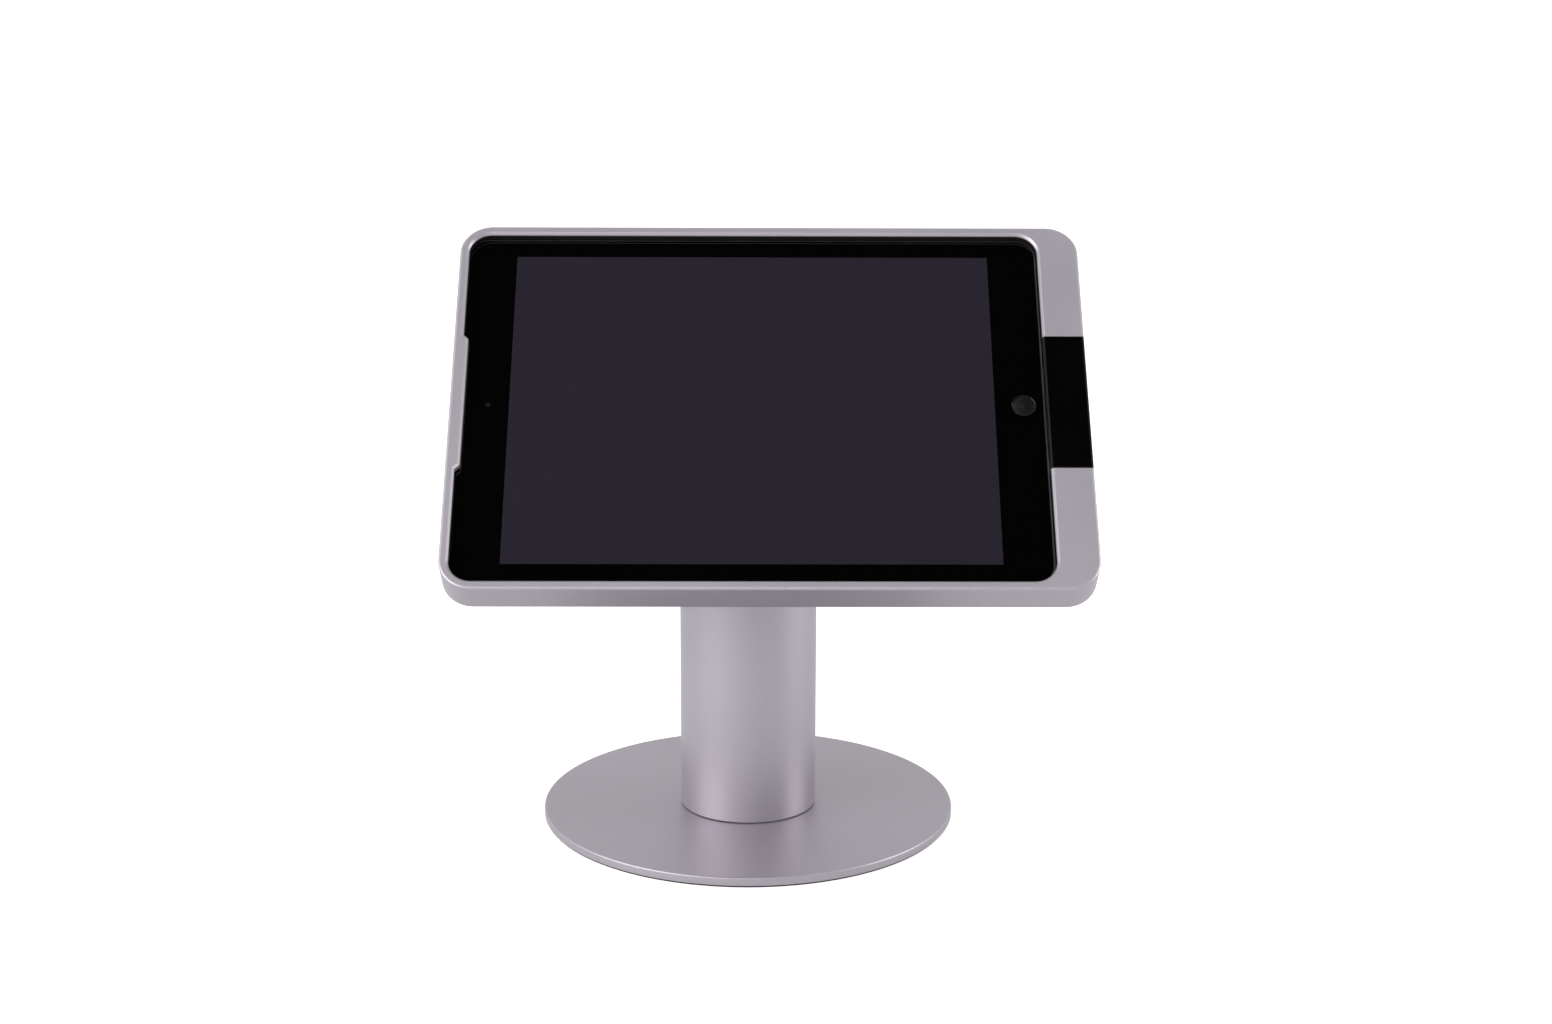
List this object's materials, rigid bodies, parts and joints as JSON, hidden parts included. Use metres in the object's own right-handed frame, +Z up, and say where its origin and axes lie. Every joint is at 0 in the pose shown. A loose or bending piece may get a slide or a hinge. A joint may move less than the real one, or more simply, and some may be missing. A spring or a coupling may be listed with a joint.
{
  "type": "tablet computer on a dock stand",
  "caption": "Touch tablet seated in a tilted metal dock with a raised rim and a black plug cover, which turns on a round column above a flat disc base.",
  "frame": {"origin": "middle of the underside of the round base, on the column's axis", "axes": "+Z up along the column, +X to the right of a person facing the screen, +Y away from them; the screen faces -Y and up at 45 degrees"},
  "size_m": [0.2722, 0.182, 0.2551],
  "materials": {
    "satin_metal": "satin grey metallic with a slight mauve tint",
    "satin_aluminium": "the same satin grey metallic paint over aluminium",
    "plain_steel": "machined",
    "case_aluminium": "fine blasted and anodised dark grey",
    "black_gloss": "high gloss",
    "black_rubber": "matt",
    "black_plastic": "moulded",
    "white_nylon": "turned",
    "screen_glass": "polished, black printed behind except over the display",
    "display_layer": "switched off, dark purple grey",
    "battery_wrap": "foil wrap",
    "circuit_green": "lacquered board",
    "magnet_plate": "nickel plated"
  },
  "bodies": {
    "stand": {"base_plate": "satin_metal", "base_pad": "black_rubber", "foot_plug": "plain_steel", "base_screw_1": "plain_steel", "base_screw_2": "plain_steel", "base_screw_3": "plain_steel", "base_screw_4": "plain_steel", "column_tube": "satin_metal", "cable_grommet": "black_rubber", "column_cap": "plain_steel", "turn_washer": "white_nylon"},
    "dock": {"turn_plate": "satin_aluminium", "stop_pin": "plain_steel", "hub_nut": "plain_steel", "turn_screw_1": "plain_steel", "turn_screw_2": "plain_steel", "turn_screw_3": "plain_steel", "turn_screw_4": "plain_steel", "dock_shell": "satin_aluminium", "edge_gasket": "black_rubber", "tray_pad_1": "black_rubber", "tray_pad_2": "black_rubber", "tray_pad_3": "black_rubber", "tray_pad_4": "black_rubber", "seat_magnet_1": "magnet_plate", "seat_magnet_2": "magnet_plate"},
    "lid": {"cover_lid": "black_gloss", "lid_magnet_1": "magnet_plate", "lid_magnet_2": "magnet_plate"},
    "tablet": {"rear_case": "case_aluminium", "front_glass": "screen_glass", "display_panel": "display_layer", "battery_left": "battery_wrap", "battery_right": "battery_wrap", "logic_board": "circuit_green", "front_camera": "black_plastic", "rear_camera": "black_plastic", "rear_camera_glass": "black_gloss", "speaker_lower": "black_plastic", "speaker_upper": "black_plastic", "charge_port": "plain_steel", "headphone_jack": "black_plastic", "home_bracket": "plain_steel", "power_switch": "black_plastic", "volume_switch": "black_plastic"},
    "home": {"home_button": "black_gloss"},
    "power": {"power_button": "case_aluminium"},
    "volume_up": {"volume_up_button": "case_aluminium"},
    "volume_down": {"volume_down_button": "case_aluminium"}
  },
  "joints": [
    {"name": "screen_turn", "type": "hinge", "parent": "stand", "child": "dock", "pos_m": [0, 0, 0.1759], "axis": [0, 0.7071, -0.7071], "range_deg": [0, 90]},
    {"name": "lid_lift", "type": "slide", "parent": "dock", "child": "lid", "axis": [0, -0.7071, 0.7071], "range_m": [0, 0.02]},
    {"name": "tablet_tilt", "type": "hinge", "parent": "dock", "child": "tablet", "pos_m": [-0.1238, -0.01209, 0.18799], "axis": [0, -0.7071, -0.7071], "range_deg": [0, 8]},
    {"name": "home_press", "type": "slide", "parent": "tablet", "child": "home", "axis": [0, 0.7071, -0.7071], "range_m": [0, 0.0004], "stiffness_N_per_m": 400, "springref_m": -0.0005},
    {"name": "power_press", "type": "slide", "parent": "tablet", "child": "power", "axis": [1, 0, 0], "range_m": [0, 0.0004], "stiffness_N_per_m": 400, "springref_m": -0.0005},
    {"name": "volume_up_press", "type": "slide", "parent": "tablet", "child": "volume_up", "axis": [0, -0.7071, -0.7071], "range_m": [0, 0.0004], "stiffness_N_per_m": 400, "springref_m": -0.0005},
    {"name": "volume_down_press", "type": "slide", "parent": "tablet", "child": "volume_down", "axis": [0, -0.7071, -0.7071], "range_m": [0, 0.0004], "stiffness_N_per_m": 400, "springref_m": -0.0005}
  ]
}
